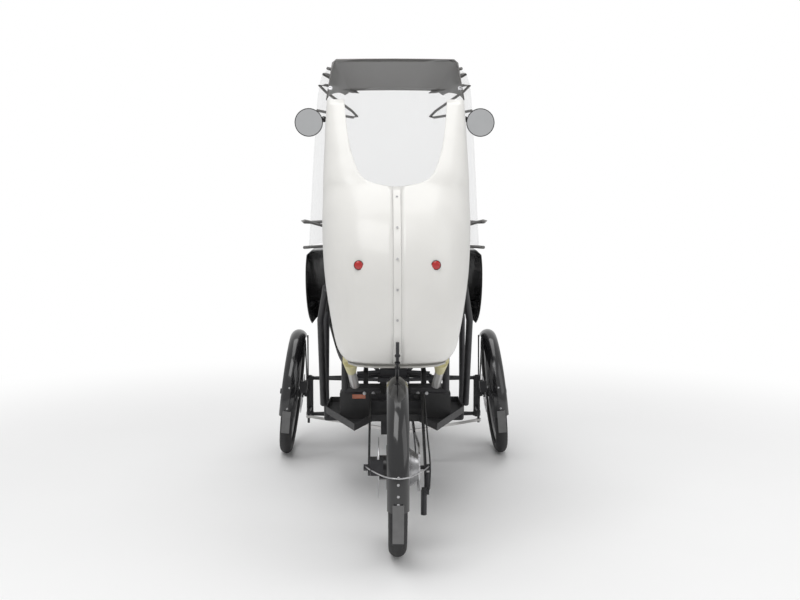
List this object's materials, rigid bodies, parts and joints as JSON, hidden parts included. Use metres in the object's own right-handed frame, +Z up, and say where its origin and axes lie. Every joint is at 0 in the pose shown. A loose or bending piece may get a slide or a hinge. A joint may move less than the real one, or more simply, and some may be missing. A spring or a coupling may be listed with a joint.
{
  "type": "velomobile",
  "caption": "Tadpole velomobile with a white tail shell, clear windshield, black nose, floor tray and under-seat steering.",
  "frame": {"origin": "on the ground under the middle of the vehicle", "axes": "+Y towards the nose, +X to the right, +Z up"},
  "size_m": [0.9376, 2.2337, 1.521],
  "materials": {
    "alloy": "satin",
    "amber_lens": "gloss",
    "black_gloss": "gloss",
    "black_paint": "satin",
    "clear": "clear",
    "cream": "satin",
    "dark_metal": "satin",
    "flap_rubber": "matt",
    "grip_rubber": "matt",
    "red_lens": "gloss",
    "seat_cloth": "woven",
    "smoke": "gloss",
    "steel": "brushed",
    "tray_plastic": "matt",
    "tyre_rubber": "matt",
    "white_shell": "satin"
  },
  "bodies": {
    "frame": {"main_frame": "dark_metal", "side_hoops": "dark_metal", "floor_tray": "tray_plastic", "battery_box": "tray_plastic", "rear_fork": "dark_metal", "seat_shell": "tray_plastic", "seat_pad": "seat_cloth", "tail_shell_left": "white_shell", "tail_shell_right": "white_shell", "tail_seam_strip": "white_shell", "tail_floor": "white_shell", "roof_visor": "smoke", "windshield": "clear", "nose_fairing": "black_gloss", "mirrors": "black_gloss", "tail_lights": "red_lens", "rear_reflector": "amber_lens", "shell_posts": "alloy", "post_couplers": "cream", "rear_fender": "black_gloss", "rear_mudflap": "flap_rubber", "derailleur": "dark_metal", "chain": "steel", "rear_caliper": "dark_metal", "wishbones": "dark_metal", "shock_absorbers": "dark_metal"},
    "rear_wheel": {"rear_tyre": "tyre_rubber", "rear_wheel": "black_paint", "rear_disc": "steel", "cassette": "steel"},
    "handlebar": {"handlebar": "dark_metal", "hand_grips": "grip_rubber"},
    "crank": {"crankset": "dark_metal"},
    "pedal_left": {"pedal_left": "dark_metal"},
    "pedal_right": {"pedal_right": "dark_metal"},
    "knuckle_left": {"knuckle_left": "dark_metal", "front_fender_left": "black_gloss", "front_mudflap_left": "flap_rubber"},
    "front_wheel_left": {"front_tyre_left": "tyre_rubber", "front_wheel_left": "black_paint", "front_disc_left": "steel"},
    "tie_rod_left": {"tie_rod_left": "alloy"},
    "knuckle_right": {"knuckle_right": "dark_metal", "front_fender_right": "black_gloss", "front_mudflap_right": "flap_rubber"},
    "front_wheel_right": {"front_tyre_right": "tyre_rubber", "front_wheel_right": "black_paint", "front_disc_right": "steel"},
    "tie_rod_right": {"tie_rod_right": "alloy"}
  },
  "joints": [
    {"name": "rear_spin", "type": "hinge", "parent": "frame", "child": "rear_wheel", "pos_m": [0, -0.844, 0.26], "axis": [1, 0, 0], "continuous": true},
    {"name": "steer_left", "type": "hinge", "parent": "frame", "child": "knuckle_left", "pos_m": [-0.345, 0.456, 0.24], "axis": [0, 0, 1], "range_deg": [-22, 22]},
    {"name": "steer_right", "type": "hinge", "parent": "frame", "child": "knuckle_right", "pos_m": [0.345, 0.456, 0.24], "axis": [0, 0, 1], "range_deg": [-22, 22]},
    {"name": "bar_turn", "type": "hinge", "parent": "frame", "child": "handlebar", "pos_m": [0, 0.196, 0.195], "axis": [0, 0, 1], "range_deg": [-22, 22]},
    {"name": "tie_rod_left_swing", "type": "hinge", "parent": "knuckle_left", "child": "tie_rod_left", "pos_m": [-0.345, 0.366, 0.166], "axis": [0, 0, 1], "range_deg": [-22, 22]},
    {"name": "tie_rod_right_swing", "type": "hinge", "parent": "knuckle_right", "child": "tie_rod_right", "pos_m": [0.345, 0.366, 0.15], "axis": [0, 0, 1], "range_deg": [-22, 22]},
    {"name": "front_spin_left", "type": "hinge", "parent": "knuckle_left", "child": "front_wheel_left", "pos_m": [-0.41542, 0.456, 0.24855], "axis": [0.9936, 0, -0.1132], "continuous": true},
    {"name": "front_spin_right", "type": "hinge", "parent": "knuckle_right", "child": "front_wheel_right", "pos_m": [0.41542, 0.456, 0.24855], "axis": [0.9936, 0, 0.1132], "continuous": true},
    {"name": "crank_spin", "type": "hinge", "parent": "frame", "child": "crank", "pos_m": [0, 0.776, 0.43], "axis": [1, 0, 0], "continuous": true},
    {"name": "pedal_spin_left", "type": "hinge", "parent": "crank", "child": "pedal_left", "pos_m": [-0.126, 0.626, 0.43], "axis": [1, 0, 0], "continuous": true},
    {"name": "pedal_spin_right", "type": "hinge", "parent": "crank", "child": "pedal_right", "pos_m": [0.126, 0.926, 0.43], "axis": [1, 0, 0], "continuous": true}
  ],
  "couplings": [
    {"joint": "steer_right", "follows": "steer_left", "ratio": 1},
    {"joint": "bar_turn", "follows": "steer_left", "ratio": 1},
    {"joint": "tie_rod_left_swing", "follows": "steer_left", "ratio": -1},
    {"joint": "tie_rod_right_swing", "follows": "steer_left", "ratio": -1}
  ]
}
